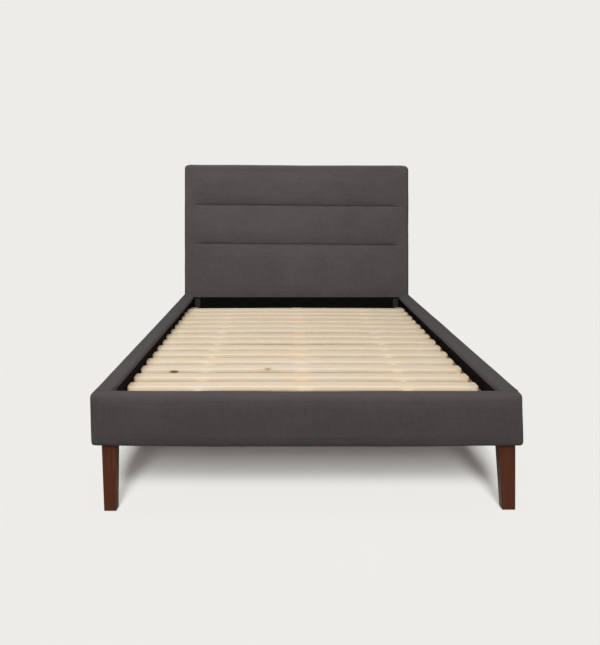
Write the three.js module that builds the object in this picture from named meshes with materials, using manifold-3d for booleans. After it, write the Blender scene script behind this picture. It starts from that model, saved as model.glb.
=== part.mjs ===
// Upholstered twin platform bed: a padded headboard with three horizontal channels, padded side
// and foot rails, a mat of bowed pine slats on ledges, a centre beam and tapered wooden legs.
// Millimetres, +Z up, +Y towards the headboard, origin on the floor under the middle of the bed.
import * as THREE from 'three';
import { mergeVertices } from 'three/addons/utils/BufferGeometryUtils.js';
import Module from 'manifold-3d';

const wasm = await Module();
wasm.setup();

// ---- Driving dimensions ----
const GAP = 0.3;                     // clearance between pieces that touch
const HALF_WIDTH = 542.5;            // middle of the bed to the outer face of a side rail
const HALF_LENGTH = 1025;            // middle of the bed to the front face or the back face
const RAIL_BOTTOM = 170;
const RAIL_TOP = 300;
const LIP = 49;                      // thickness of a side rail across its padded top
const FOOT_LIP = 50;                 // the same for the foot rail
const PAD = 12.2;                    // foam and cloth on the outer face of a rail
const FOOT_PAD = 8.5;
const HEM = 3;                       // cloth folded under a rail and round the headboard
const BOARD = 20.5;                  // side rail board
const FOOT_BOARD = 36;
const BOARD_TOP = 286;
const LINER = 1.2;                   // black lining cloth
const LIP_BOTTOM = 277;              // where the padded lip is stapled to the board
// Roundings of a rail: the outer top edge of a side rail and of the foot rail, the outer bottom
// edge, and the inner edge of the padded lip.
const RAIL_EDGE = { side: 5, foot: 12, bottom: 8, lip: 13 };

const HEADBOARD_TOP = 925;
const HEADBOARD_FACE = 945;          // front face of the headboard, along Y
const HEADBOARD_CLOTH_BOTTOM = 280;  // the grey cloth ends here, and black lining starts
const HEADBOARD_CORNER = 14;
const FOAM_DEPTH = 37;
const PANEL = 18;                    // plywood panel behind the foam
const STUD_WIDTH = 60;               // timber studs on the back of the panel
const CROSSBAR_BOTTOM = 580;         // timber across the back, between the studs
const BACK_HEM = 38;                 // cloth folded round to the back and stapled
const BACK_CLOTH_INSET = 12;

const SLAT_COUNT = 15;
const SLAT = { length: 1000, width: 60, thickness: 14, top: 252, pitch: 114.3 };
const SLAT_MAT_X = -4;               // the mat lies a little to one side
const FIRST_SLAT_EDGE = -855;        // front edge of the slat nearest the foot
const SLAT_FACETS = 11;              // an odd number, so the middle facet is level
const SLAT_CORNER = 11;              // rounding of a slat's corners, seen from above
const TAPE = { x: 300, halfWidth: 12, thickness: 1, margin: 10 };  // webbing under the slats

const LEDGE = { width: 30, height: 25 };
const BRACKET = { sheet: 3, arm: 60, foot: 40, bottom: 176, top: 211 };
const BOLT = { x: 480, z: 193.5, radius: 4, head: 6.5, headDepth: 5, length: 28 };

const LEG = { size: 39, taper: 7.5, inset: 14.5 };
const LEG_BOLT = { bottom: 128, top: 212 };
const GLIDE = { radius: 11, height: 1.5 };
const BORE = 4.6;                    // radius of every hole for an M8 bolt

const BEAM = { width: 45, bottom: 186, top: 236 };
const CRADLE = { sheet: 2.5, length: 40, top: 220 };
const CENTER_LEG = { size: 38, bottom: 26 };
const CENTER_FOOT = { radius: 20, height: 10, socket: 4.3, studTop: 66 };
const COLLAR = { radius: 7.5, bottom: 14, height: 5 };  // hexagon on the levelling stud
const ROUND = 24;                    // sides of a turned piece

// ---- Positions worked out from them ----
const BOARD_OUTER = PAD + GAP;
const BOARD_INNER = BOARD_OUTER + BOARD;
const LINER_X = HALF_WIDTH - BOARD_INNER - GAP - LINER;
const FOOT_BOARD_OUTER = FOOT_PAD + GAP;
const FOOT_BOARD_INNER = FOOT_BOARD_OUTER + FOOT_BOARD;
const FOOT_LINER_Y = -(HALF_LENGTH - FOOT_BOARD_INNER - GAP - LINER);
const RAIL_START = -(HALF_LENGTH - FOOT_LIP) + GAP;
const RAIL_END = HEADBOARD_FACE - GAP;
const CLOTH_BACK = HALF_LENGTH - LINER;
const HEAD_LINER_Y = HEADBOARD_FACE + 1.8;
const LEG_BOLT_X = HALF_WIDTH - LEG.inset - LEG.size / 2 - LEG.taper / 2;
const LEG_BOLT_Y = HALF_LENGTH - LEG.inset - LEG.size / 2;
const SLAT_BOTTOM = SLAT.top - SLAT.thickness;

// ---- Materials ----
const paint = (color, roughness, metalness = 0) =>
  new THREE.MeshStandardMaterial({ color, roughness, metalness });
const materials = {
  cloth: paint(0x524d4c, 0.95),
  lining: paint(0x0d0d0d, 0.9),
  foam: paint(0xd9d2b8, 1.0),
  pine: paint(0xdfcdb2, 0.65),
  timber: paint(0xc9a87c, 0.75),
  walnut: paint(0x53301f, 0.4),
  steel: paint(0x1c1c1d, 0.45, 0.8),
  zinc: paint(0xb9bcbf, 0.35, 1.0),
  plastic: paint(0x161616, 0.6),
  webbing: paint(0xe9e5da, 0.9),
};

// ---- Solids ----
// A block between its lowest and highest corners.
function block(low, high) {
  const [x, y, z] = low.map((value, axis) => high[axis] - value);
  const middle = low.map((value, axis) => (value + high[axis]) / 2);
  return new THREE.BoxGeometry(x, y, z).translate(...middle);
}

// A block that reaches the same distance to the left and to the right.
function middleBlock(halfWidth, y, z) {
  return block([-halfWidth, y[0], z[0]], [halfWidth, y[1], z[1]]);
}

// The same block on the left (side -1) or on the right (side 1), given for the right.
function sideBlock(side, x, y, z) {
  const [low, high] = [side * x[0], side * x[1]].sort((a, b) => a - b);
  return block([low, y[0], z[0]], [high, y[1], z[1]]);
}

// An outline in X and Z, pushed along Y.
function pushAlongY(outline, start, end, curveSegments = 5) {
  const options = { depth: end - start, bevelEnabled: false, curveSegments };
  return new THREE.ExtrudeGeometry(outline, options).rotateX(Math.PI / 2).translate(0, end, 0);
}

// An outline in Y and Z, pushed along X.
function pushAlongX(outline, start, end, curveSegments = 5) {
  const options = { depth: end - start, bevelEnabled: false, curveSegments };
  const turn = new THREE.Matrix4().makeBasis(
    new THREE.Vector3(0, 1, 0), new THREE.Vector3(0, 0, 1), new THREE.Vector3(1, 0, 0),
  );
  return new THREE.ExtrudeGeometry(outline, options).applyMatrix4(turn).translate(start, 0, 0);
}

// A turned piece on the Z axis, from [radius, height] points that start and end on the axis.
function turned(points) {
  return new THREE.LatheGeometry(points.map(([r, z]) => new THREE.Vector2(r, z)), ROUND)
    .rotateX(Math.PI / 2);
}

function toSolid(geometry) {
  const bare = geometry.clone();
  bare.deleteAttribute('normal');
  bare.deleteAttribute('uv');
  const merged = mergeVertices(bare, 1e-3);
  return new wasm.Manifold(new wasm.Mesh({
    numProp: 3,
    vertProperties: Float32Array.from(merged.attributes.position.array),
    triVerts: Uint32Array.from(merged.index.array),
  }));
}

function toGeometry(solid) {
  const mesh = solid.getMesh();
  const geometry = new THREE.BufferGeometry();
  geometry.setAttribute('position', new THREE.BufferAttribute(mesh.vertProperties, 3));
  geometry.setIndex(new THREE.BufferAttribute(mesh.triVerts, 1));
  geometry.computeVertexNormals();
  return geometry;
}

function cut(geometry, ...tools) {
  return toGeometry(tools.reduce((solid, tool) => solid.subtract(toSolid(tool)), toSolid(geometry)));
}

function keepInside(geometry, tool) {
  return toGeometry(toSolid(geometry).intersect(toSolid(tool)));
}

function join(geometry, ...others) {
  return toGeometry(others.reduce((solid, other) => solid.add(toSolid(other)), toSolid(geometry)));
}

// A drill along Z through both heights, and one along Y.
function drillZ(x, y, z, radius = BORE) {
  return new THREE.CylinderGeometry(radius, radius, z[1] - z[0], ROUND)
    .rotateX(Math.PI / 2).translate(x, y, (z[0] + z[1]) / 2);
}

function drillY(x, y, z, radius = BORE) {
  return new THREE.CylinderGeometry(radius, radius, y[1] - y[0], ROUND)
    .translate(x, (y[0] + y[1]) / 2, z);
}

const bed = new THREE.Group();

function add(name, material, geometry) {
  const mesh = new THREE.Mesh(geometry, materials[material]);
  mesh.name = name;
  bed.add(mesh);
}

const LEFT_AND_RIGHT = [['left', -1], ['right', 1]];

// ---- Rails ----
// The outline of a padded cover, closed on the inner face of its board. place turns a distance
// from the rail's outer face into a coordinate; hollow leaves out the space for the board.
function coverOutline(place, lip, edge, boardInner, hollow) {
  const outline = new THREE.Shape();
  const go = (inset, z) => outline.lineTo(place(inset), z);
  const bend = (inset, z, endInset, endZ) =>
    outline.quadraticCurveTo(place(inset), z, place(endInset), endZ);
  outline.moveTo(place(boardInner), RAIL_BOTTOM);
  go(RAIL_EDGE.bottom, RAIL_BOTTOM);
  bend(0, RAIL_BOTTOM, 0, RAIL_BOTTOM + RAIL_EDGE.bottom);
  go(0, RAIL_TOP - edge);
  bend(0, RAIL_TOP, edge, RAIL_TOP);
  go(lip - RAIL_EDGE.lip, RAIL_TOP);
  bend(lip, RAIL_TOP, lip, RAIL_TOP - RAIL_EDGE.lip);
  bend(lip, LIP_BOTTOM, boardInner, LIP_BOTTOM);
  if (hollow) {
    go(boardInner, BOARD_TOP + GAP);
    go(PAD, BOARD_TOP + GAP);
    go(PAD, RAIL_BOTTOM + HEM);
    go(boardInner, RAIL_BOTTOM + HEM);
  }
  outline.closePath();
  return outline;
}

function sideRail(name, side) {
  const across = (inset) => side * (HALF_WIDTH - inset);
  const cover = coverOutline(across, LIP, RAIL_EDGE.side, BOARD_INNER, true);
  add(`side_rail_cover_${name}`, 'cloth', pushAlongY(cover, RAIL_START, RAIL_END));
  const boardX = [HALF_WIDTH - BOARD_INNER, HALF_WIDTH - BOARD_OUTER];
  const railY = [RAIL_START, RAIL_END];
  const boardZ = [RAIL_BOTTOM + HEM + GAP, BOARD_TOP];
  add(`side_rail_board_${name}`, 'timber', sideBlock(side, boardX, railY, boardZ));
  const linerX = [LINER_X, LINER_X + LINER];
  const linerZ = [RAIL_BOTTOM + HEM, LIP_BOTTOM - GAP];
  add(`side_rail_liner_${name}`, 'lining', sideBlock(side, linerX, railY, linerZ));
  const ledgeX = [LINER_X - GAP - LEDGE.width, LINER_X - GAP];
  const ledgeY = [RAIL_START, RAIL_END - 2 * BRACKET.sheet];
  const ledgeTop = SLAT_BOTTOM - GAP;
  const ledge = sideBlock(side, ledgeX, ledgeY, [ledgeTop - LEDGE.height, ledgeTop]);
  add(`slat_ledge_${name}`, 'timber', ledge);
}

function footRail() {
  const across = (inset) => -(HALF_LENGTH - inset);
  const outline = coverOutline(across, FOOT_LIP, RAIL_EDGE.foot, FOOT_BOARD_INNER, false);
  const boardY = [across(FOOT_BOARD_OUTER), across(FOOT_BOARD_INNER)];
  const boardHalf = HALF_WIDTH - BOARD_OUTER;
  const room = middleBlock(
    boardHalf + GAP, [across(FOOT_PAD), across(FOOT_BOARD_INNER) + 1],
    [RAIL_BOTTOM + HEM, BOARD_TOP + GAP],
  );
  const hemHoles = LEFT_AND_RIGHT.map(([, side]) =>
    drillZ(side * LEG_BOLT_X, -LEG_BOLT_Y, [RAIL_BOTTOM - 1, RAIL_BOTTOM + HEM + 1]));
  const cover = cut(pushAlongX(outline, -HALF_WIDTH, HALF_WIDTH), room, ...hemHoles);
  add('foot_rail_cover', 'cloth', cover);

  const board = middleBlock(boardHalf, boardY, [RAIL_BOTTOM + HEM + GAP, BOARD_TOP]);
  const boltHoles = LEFT_AND_RIGHT.flatMap(([, side]) => [
    drillZ(side * LEG_BOLT_X, -LEG_BOLT_Y, [RAIL_BOTTOM, LEG_BOLT.top + 1]),
    drillY(side * BOLT.x, [FOOT_LINER_Y - BOLT.length, FOOT_LINER_Y], BOLT.z),
  ]);
  add('foot_rail_board', 'timber', cut(board, ...boltHoles));

  const linerY = [FOOT_LINER_Y - LINER, FOOT_LINER_Y];
  const liner = middleBlock(HALF_WIDTH - LIP, linerY, [RAIL_BOTTOM + HEM, LIP_BOTTOM - 2]);
  const linerHoles = LEFT_AND_RIGHT.map(([, side]) =>
    drillY(side * BOLT.x, [FOOT_LINER_Y - 5, FOOT_LINER_Y + 5], BOLT.z));
  add('foot_rail_liner', 'lining', cut(liner, ...linerHoles));
}

// ---- Headboard ----
// The headboard's outline in X and Z, with rounded upper corners, made smaller all round by trim.
function headboardOutline(trim, bottom) {
  const half = HALF_WIDTH - trim;
  const top = HEADBOARD_TOP - trim;
  const corner = HEADBOARD_CORNER - trim;
  const outline = new THREE.Shape();
  outline.moveTo(-half, bottom);
  outline.lineTo(half, bottom);
  outline.lineTo(half, top - corner);
  outline.quadraticCurveTo(half, top, half - corner, top);
  outline.lineTo(corner - half, top);
  outline.quadraticCurveTo(-half, top, -half, top - corner);
  outline.closePath();
  return outline;
}

function headboard() {
  const foamFront = HEADBOARD_FACE + HEM + GAP;
  const panelFront = foamFront + FOAM_DEPTH;
  const frameBack = CLOTH_BACK - HEM - 2 * GAP;
  const frameBottom = RAIL_BOTTOM + HEM + GAP;
  const railTop = HEADBOARD_CLOTH_BOTTOM;

  // The frame: a plywood panel, studs on its back and a deep bottom rail that takes the bolts.
  const trim = HEM + GAP;
  const slab = pushAlongY(headboardOutline(trim, frameBottom), panelFront, frameBack);
  const windows = [];
  const windowWidth = (2 * (HALF_WIDTH - trim) - 4 * STUD_WIDTH) / 3;
  const windowRows = [
    [railTop + 2, CROSSBAR_BOTTOM],
    [CROSSBAR_BOTTOM + STUD_WIDTH, HEADBOARD_TOP - trim - STUD_WIDTH],
  ];
  for (const column of [-1, 0, 1]) {
    const middle = column * (windowWidth + STUD_WIDTH);
    for (const [low, high] of windowRows) {
      windows.push(block(
        [middle - windowWidth / 2, panelFront + PANEL, low],
        [middle + windowWidth / 2, frameBack + 1, high],
      ));
    }
  }
  const bottomRail = middleBlock(
    HALF_WIDTH - trim, [foamFront, panelFront + 1], [frameBottom, railTop],
  );
  const holes = LEFT_AND_RIGHT.flatMap(([, side]) => [
    drillZ(side * LEG_BOLT_X, LEG_BOLT_Y, [RAIL_BOTTOM, LEG_BOLT.top + 1]),
    drillY(side * BOLT.x, [HEADBOARD_FACE, HEADBOARD_FACE + BOLT.length + 3], BOLT.z),
  ]);
  add('headboard_frame', 'timber', cut(join(cut(slab, ...windows), bottomRail), ...holes));

  const foam = pushAlongY(headboardOutline(trim, railTop + GAP), foamFront, panelFront - GAP);
  add('headboard_foam', 'foam', foam);

  // The cover is open at the back, where its hem is stapled, and at the front below the cloth.
  const hull = pushAlongY(headboardOutline(0, RAIL_BOTTOM), HEADBOARD_FACE, CLOTH_BACK - GAP);
  const inside = pushAlongY(
    headboardOutline(HEM, RAIL_BOTTOM + HEM), HEADBOARD_FACE + HEM, CLOTH_BACK - HEM - GAP,
  );
  const backOpening = middleBlock(
    HALF_WIDTH - BACK_HEM, [CLOTH_BACK - HEM - 2, CLOTH_BACK + 1],
    [RAIL_BOTTOM + BACK_HEM, HEADBOARD_TOP - BACK_HEM],
  );
  const frontOpening = middleBlock(
    LINER_X, [HEADBOARD_FACE - 1, HEADBOARD_FACE + HEM + 1],
    [RAIL_BOTTOM + HEM, HEADBOARD_CLOTH_BOTTOM],
  );
  const hemHoles = LEFT_AND_RIGHT.map(([, side]) =>
    drillZ(side * LEG_BOLT_X, LEG_BOLT_Y, [RAIL_BOTTOM - 1, RAIL_BOTTOM + HEM + 1]));
  const cover = cut(hull, inside, backOpening, frontOpening, ...hemHoles);
  add('headboard_cover', 'cloth', cover);

  const backCloth = middleBlock(
    HALF_WIDTH - BACK_CLOTH_INSET, [CLOTH_BACK, HALF_LENGTH],
    [RAIL_BOTTOM + BACK_CLOTH_INSET, HEADBOARD_TOP - HEADBOARD_CORNER],
  );
  add('headboard_back_cloth', 'lining', backCloth);

  const liner = middleBlock(
    LINER_X - GAP, [HEAD_LINER_Y, HEAD_LINER_Y + LINER],
    [RAIL_BOTTOM + HEM + GAP, HEADBOARD_CLOTH_BOTTOM - GAP],
  );
  const linerHoles = LEFT_AND_RIGHT.map(([, side]) =>
    drillY(side * BOLT.x, [HEAD_LINER_Y - 5, HEAD_LINER_Y + 5], BOLT.z));
  add('headboard_liner', 'lining', cut(liner, ...linerHoles));
}

// ---- Corner brackets and bolts ----
// end is -1 at the foot and 1 at the headboard; wall is the face that the bracket is bolted to.
function cornerBracket(name, side, end, wall, wallTop) {
  const outer = LINER_X - GAP;
  const face = wall - end * GAP;
  const sorted = (a, b) => [Math.min(a, b), Math.max(a, b)];
  const height = [BRACKET.bottom, BRACKET.top];
  const armY = sorted(face, face - end * BRACKET.arm);
  const arm = sideBlock(side, [outer - BRACKET.sheet, outer], armY, height);
  const plateY = sorted(face, face - end * BRACKET.sheet);
  const plateX = [outer - BRACKET.foot, outer];
  const plate = sideBlock(side, plateX, plateY, height);
  const tabX = [plateX[0], HALF_WIDTH - LIP - 2 * GAP];
  const tab = sideBlock(side, tabX, plateY, [BRACKET.bottom, wallTop]);
  const hole = drillY(side * BOLT.x, [face - 8, face + 8], BOLT.z);
  add(`corner_bracket_${name}`, 'steel', cut(join(arm, plate, tab), hole));

  const { radius, head, headDepth, length } = BOLT;
  const bolt = turned([
    [0, -headDepth], [head - 1, -headDepth], [head, 1 - headDepth], [head, 0],
    [radius, 0], [radius, length - 1], [radius - 1, length], [0, length],
  ]);
  const seat = face - end * (BRACKET.sheet + GAP);
  bolt.rotateX(-end * Math.PI / 2).translate(side * BOLT.x, seat, BOLT.z);
  add(`corner_bolt_${name}`, 'zinc', bolt);
}

// ---- Legs ----
// Two neighbouring faces of a leg slope inwards and the other two are upright. slopeX and slopeY
// say which way the sloping faces look. The bolt stands off centre, towards the sloping faces.
function leg(name, side, end, slopeX, slopeY) {
  const boltX = side * LEG_BOLT_X;
  const boltY = end * LEG_BOLT_Y;
  const middleX = boltX - slopeX * LEG.taper / 2;
  const bottom = GLIDE.height + GAP;
  const top = RAIL_BOTTOM - GAP;
  const half = LEG.size / 2;
  const post = block([middleX - half, boltY - half, bottom], [middleX + half, boltY + half, top]);
  const corners = post.attributes.position;
  for (let i = 0; i < corners.count; i += 1) {
    if (corners.getZ(i) > top - GAP) continue;
    if ((corners.getX(i) - middleX) * slopeX > 0) corners.setX(i, corners.getX(i) - slopeX * LEG.taper);
    if ((corners.getY(i) - boltY) * slopeY > 0) corners.setY(i, corners.getY(i) - slopeY * LEG.taper);
  }
  add(`leg_${name}`, 'walnut', cut(post, drillZ(boltX, boltY, [LEG_BOLT.bottom - 1, top + 1])));

  const { radius } = BOLT;
  const length = LEG_BOLT.top - LEG_BOLT.bottom;
  const hangerBolt = turned([
    [0, 0], [radius - 1.5, 0], [radius, 3], [radius, length - 12], [0, length],
  ]);
  add(`hanger_bolt_${name}`, 'zinc', hangerBolt.translate(boltX, boltY, LEG_BOLT.bottom));

  const glide = turned([
    [0, 0], [GLIDE.radius - 0.5, 0], [GLIDE.radius, 0.5], [GLIDE.radius, GLIDE.height], [0, GLIDE.height],
  ]);
  glide.translate(middleX - slopeX * LEG.taper / 2, boltY - slopeY * LEG.taper / 2, 0);
  add(`glide_${name}`, 'plastic', glide);
}

// ---- Centre beam and its levelling leg ----
function beamCradle(name, end, wall) {
  const face = wall - end * GAP;
  const openEnd = face - end * CRADLE.length;
  const inner = BEAM.width / 2 + GAP;
  const floor = BEAM.bottom - GAP;
  const hull = middleBlock(
    inner + CRADLE.sheet, [Math.min(face, openEnd), Math.max(face, openEnd)],
    [floor - CRADLE.sheet, CRADLE.top],
  );
  const back = face - end * CRADLE.sheet;
  const past = openEnd - end;
  const room = middleBlock(
    inner, [Math.min(back, past), Math.max(back, past)], [floor, CRADLE.top + 1],
  );
  add(`beam_cradle_${name}`, 'steel', cut(hull, room));
}

function centerBeam() {
  beamCradle('foot', -1, FOOT_LINER_Y);
  beamCradle('head', 1, HEAD_LINER_Y);
  const reach = 2 * GAP + CRADLE.sheet;
  const beamY = [FOOT_LINER_Y + reach, HEAD_LINER_Y - reach];
  add('center_beam', 'timber', middleBlock(BEAM.width / 2, beamY, [BEAM.bottom, BEAM.top]));

  const half = CENTER_LEG.size / 2;
  const post = middleBlock(half, [-half, half], [CENTER_LEG.bottom, BEAM.bottom - GAP]);
  const bore = drillZ(0, 0, [CENTER_LEG.bottom - 1, CENTER_FOOT.studTop + 4]);
  add('center_leg', 'timber', cut(post, bore));

  const { radius, height, socket, studTop } = CENTER_FOOT;
  const pad = turned([
    [0, 0], [radius - 1.5, 0], [radius, 1.5], [radius, 4], [radius - 8, height],
    [BORE, height], [BORE, socket], [0, socket],
  ]);
  add('center_foot_pad', 'plastic', pad);
  const shaft = turned([
    [0, socket + GAP], [BOLT.radius, socket + GAP], [BOLT.radius, studTop], [0, studTop],
  ]);
  const hexagon = new THREE.CylinderGeometry(COLLAR.radius, COLLAR.radius, COLLAR.height, 6)
    .rotateX(Math.PI / 2).translate(0, 0, COLLAR.bottom + COLLAR.height / 2);
  add('center_foot_stud', 'zinc', join(shaft, hexagon));
}

// ---- Slats ----
// A slat is bowed upwards. The slats near the headboard are bowed a little more.
function slatCrown(index) {
  return 2 + 4 * (index / (SLAT_COUNT - 1)) ** 2;
}

function slat(index) {
  const outline = new THREE.Shape();
  const stations = Array.from({ length: SLAT_FACETS + 1 }, (_, i) => i / SLAT_FACETS - 0.5);
  const lift = (station) => slatCrown(index) * (1 - 4 * station * station);
  outline.moveTo(SLAT_MAT_X - SLAT.length / 2, SLAT_BOTTOM);
  for (const station of stations) {
    outline.lineTo(SLAT_MAT_X + station * SLAT.length, SLAT_BOTTOM + lift(station));
  }
  for (const station of stations.toReversed()) {
    outline.lineTo(SLAT_MAT_X + station * SLAT.length, SLAT.top + lift(station));
  }
  outline.closePath();
  const front = FIRST_SLAT_EDGE + index * SLAT.pitch;
  const bowed = pushAlongY(outline, front, front + SLAT.width);
  const number = String(index + 1).padStart(2, '0');
  add(`slat_${number}`, 'pine', keepInside(bowed, slatPlan(front)));
}

// A slat's outline from above, with rounded corners, as a block that is taller than the slat.
function slatPlan(front) {
  const half = SLAT.length / 2;
  const corner = SLAT_CORNER;
  const plan = new THREE.Shape();
  plan.moveTo(corner - half, 0);
  plan.lineTo(half - corner, 0);
  plan.quadraticCurveTo(half, 0, half, corner);
  plan.lineTo(half, SLAT.width - corner);
  plan.quadraticCurveTo(half, SLAT.width, half - corner, SLAT.width);
  plan.lineTo(corner - half, SLAT.width);
  plan.quadraticCurveTo(-half, SLAT.width, -half, SLAT.width - corner);
  plan.lineTo(-half, corner);
  plan.quadraticCurveTo(-half, 0, corner - half, 0);
  const options = { depth: 4 * SLAT.thickness, bevelEnabled: false, curveSegments: 3 };
  return new THREE.ExtrudeGeometry(plan, options)
    .translate(SLAT_MAT_X, front, SLAT_BOTTOM - SLAT.thickness);
}

function slatTape(name, side) {
  const middle = SLAT_MAT_X + side * TAPE.x;
  const top = SLAT_BOTTOM + slatCrown(0) * (1 - (2 * TAPE.x / SLAT.length) ** 2) - GAP;
  const last = FIRST_SLAT_EDGE + (SLAT_COUNT - 1) * SLAT.pitch + SLAT.width;
  const tape = block(
    [middle - TAPE.halfWidth, FIRST_SLAT_EDGE + TAPE.margin, top - TAPE.thickness],
    [middle + TAPE.halfWidth, last - TAPE.margin, top],
  );
  add(`slat_tape_${name}`, 'webbing', tape);
}

// ---- Assembly ----
headboard();
footRail();
for (const [name, side] of LEFT_AND_RIGHT) {
  sideRail(name, side);
  slatTape(name, side);
  cornerBracket(`foot_${name}`, side, -1, FOOT_LINER_Y, BRACKET.top);
  cornerBracket(`head_${name}`, side, 1, HEAD_LINER_Y, HEADBOARD_CLOTH_BOTTOM - 2);
}
leg('front_left', -1, -1, -1, 1);
leg('front_right', 1, -1, -1, -1);
leg('rear_left', -1, 1, -1, 1);
leg('rear_right', 1, 1, 1, 1);
centerBeam();
for (let index = 0; index < SLAT_COUNT; index += 1) {
  slat(index);
}

export default bed;
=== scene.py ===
import math

import bpy
import numpy as np
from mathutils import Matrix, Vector, noise


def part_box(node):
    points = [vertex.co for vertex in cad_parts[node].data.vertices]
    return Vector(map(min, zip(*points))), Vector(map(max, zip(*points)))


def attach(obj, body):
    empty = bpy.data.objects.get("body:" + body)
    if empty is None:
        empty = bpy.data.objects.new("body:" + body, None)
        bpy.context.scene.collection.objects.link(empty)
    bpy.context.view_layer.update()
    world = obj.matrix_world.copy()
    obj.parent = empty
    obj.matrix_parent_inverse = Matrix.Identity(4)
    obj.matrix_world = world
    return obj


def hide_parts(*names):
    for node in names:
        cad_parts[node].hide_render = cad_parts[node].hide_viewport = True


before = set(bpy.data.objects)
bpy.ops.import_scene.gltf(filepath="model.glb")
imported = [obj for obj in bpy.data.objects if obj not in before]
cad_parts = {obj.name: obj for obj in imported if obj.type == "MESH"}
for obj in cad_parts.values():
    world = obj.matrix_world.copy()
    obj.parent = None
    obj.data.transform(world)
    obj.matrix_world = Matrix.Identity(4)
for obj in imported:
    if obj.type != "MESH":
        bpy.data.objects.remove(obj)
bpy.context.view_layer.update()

scene = bpy.context.scene
MM = 0.001


def set_all(thing, values):
    for key, value in values.items():
        setattr(thing, key, value)
    return thing


# ---- Camera ----
camera_data = set_all(bpy.data.cameras.new("camera"), dict(
    lens=47.085, sensor_width=36.0, shift_x=0.02202, shift_y=-0.21116, clip_end=200.0,
))
camera = bpy.data.objects.new("camera", camera_data)
camera.location = (-0.0525, -3.146, 0.8238)
camera.rotation_euler = (math.pi / 2, 0, 0)
scene.collection.objects.link(camera)
scene.camera = camera
scene.view_settings.view_transform = "Standard"

# ---- Studio ----
STUDIO = (0.847, 0.839, 0.807)
AMBIENT = 0.03

world = bpy.data.worlds.new("studio")
scene.world = world
world.use_nodes = True
tree = world.node_tree
background = tree.nodes["Background"]
background.inputs["Color"].default_value = (*STUDIO, 1)
path = tree.nodes.new("ShaderNodeLightPath")
strength = tree.nodes.new("ShaderNodeMapRange")
strength.inputs["To Min"].default_value = AMBIENT
strength.inputs["To Max"].default_value = 1.0
tree.links.new(path.outputs["Is Camera Ray"], strength.inputs["Value"])
tree.links.new(strength.outputs["Result"], background.inputs["Strength"])


# ---- Materials ----
class Surface:
    """A node material with a Principled shader, and short ways to add nodes to it."""

    def __init__(self, name, **shader_values):
        self.material = bpy.data.materials.new(name)
        self.material.use_nodes = True
        self.tree = self.material.node_tree
        self.shader = self.tree.nodes["Principled BSDF"]
        for socket, value in shader_values.items():
            self.shader.inputs[socket.replace("_", " ")].default_value = value
        self.place = self.node("ShaderNodeTexCoord").outputs["Object"]

    def node(self, kind, values=None, **settings):
        made = set_all(self.tree.nodes.new(kind), settings)
        for socket, value in (values or {}).items():
            if isinstance(value, bpy.types.NodeSocket):
                self.tree.links.new(value, made.inputs[socket])
            else:
                made.inputs[socket].default_value = value
        return made

    def math(self, operation, a, b=0.0, c=0.0):
        return self.node("ShaderNodeMath", {0: a, 1: b, 2: c}, operation=operation).outputs[0]

    def scaled(self, scale, offset=(0, 0, 0)):
        values = {"Vector": self.place, "Scale": scale, "Location": offset}
        return self.node("ShaderNodeMapping", values).outputs[0]

    def noise(self, vector, scale=1.0, detail=3.0, roughness=0.55, distortion=0.0):
        made = self.node("ShaderNodeTexNoise", {
            "Vector": vector, "Scale": scale, "Detail": detail,
            "Roughness": roughness, "Distortion": distortion,
        })
        return made.outputs[0]

    def ramp(self, factor, stops):
        made = self.node("ShaderNodeValToRGB", {"Fac": factor})
        elements = made.color_ramp.elements
        while len(elements) < len(stops):
            elements.new(0.5)
        for element, (at, color) in zip(elements, stops):
            element.position = at
            element.color = (*color, 1)
        return made.outputs["Color"]

    def fit(self, value, from_low, from_high, to_low, to_high):
        made = self.node("ShaderNodeMapRange", {
            "Value": value, "From Min": from_low, "From Max": from_high,
            "To Min": to_low, "To Max": to_high,
        })
        return made.outputs["Result"]

    def mix(self, factor, a, b, blend="MIX"):
        values = {0: factor, 6: a, 7: b}
        return self.node("ShaderNodeMix", values, data_type="RGBA", blend_type=blend).outputs[2]

    def bump(self, height, distance, strength=1.0, normal=None):
        values = {"Height": height, "Distance": distance, "Strength": strength}
        if normal is not None:
            values["Normal"] = normal
        return self.node("ShaderNodeBump", values).outputs[0]

    def finish(self, color, roughness=None, normal=None):
        for socket, value in (("Base Color", color), ("Roughness", roughness), ("Normal", normal)):
            if value is not None:
                self.tree.links.new(value, self.shader.inputs[socket])
        return self.material


def tone(color, factor):
    return tuple(c * factor for c in color)


def along_axis(axis, value, across):
    return [value if k == axis else across for k in range(3)]


def woven(name, color, thread=1.7 * MM, contrast=0.16, bump=0.25 * MM, sheen=0.04):
    """Plain woven cloth: threads both ways, slubs along each of them and faint cloudy patches."""
    s = Surface(name, Roughness=0.9, Sheen_Weight=sheen, Sheen_Roughness=0.55, Specular_IOR_Level=0.25)
    axes = s.node("ShaderNodeSeparateXYZ", {0: s.place}).outputs
    turns = 2 * math.pi / thread
    waves = [s.math("SINE", s.math("MULTIPLY", axis, turns)) for axis in axes]
    weave = s.math("ADD", s.math("ADD", waves[0], waves[1]), waves[2])
    slubs = [s.noise(s.scaled(along_axis(k, 26, 300)), detail=2.0) for k in range(3)]
    slub = s.math("MULTIPLY", s.math("ADD", s.math("ADD", slubs[0], slubs[1]), slubs[2]), 1 / 3)
    clouds = s.noise(s.place, scale=7.0, detail=4.0)
    pattern = s.math("ADD", s.math("MULTIPLY", slub, 0.75), s.math("MULTIPLY", clouds, 0.25))
    pattern = s.math("MULTIPLY_ADD", weave, 0.012, pattern)
    shade = s.ramp(pattern, [
        (0.40, tone(color, 1 - contrast)), (0.50, color), (0.60, tone(color, 1 + contrast)),
    ])
    height = s.math("MULTIPLY_ADD", slub, 4.0, weave)
    rough = s.fit(slub, 0.4, 0.6, 0.82, 0.95)
    return s.finish(shade, rough, s.bump(height, bump, 0.6))


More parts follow.
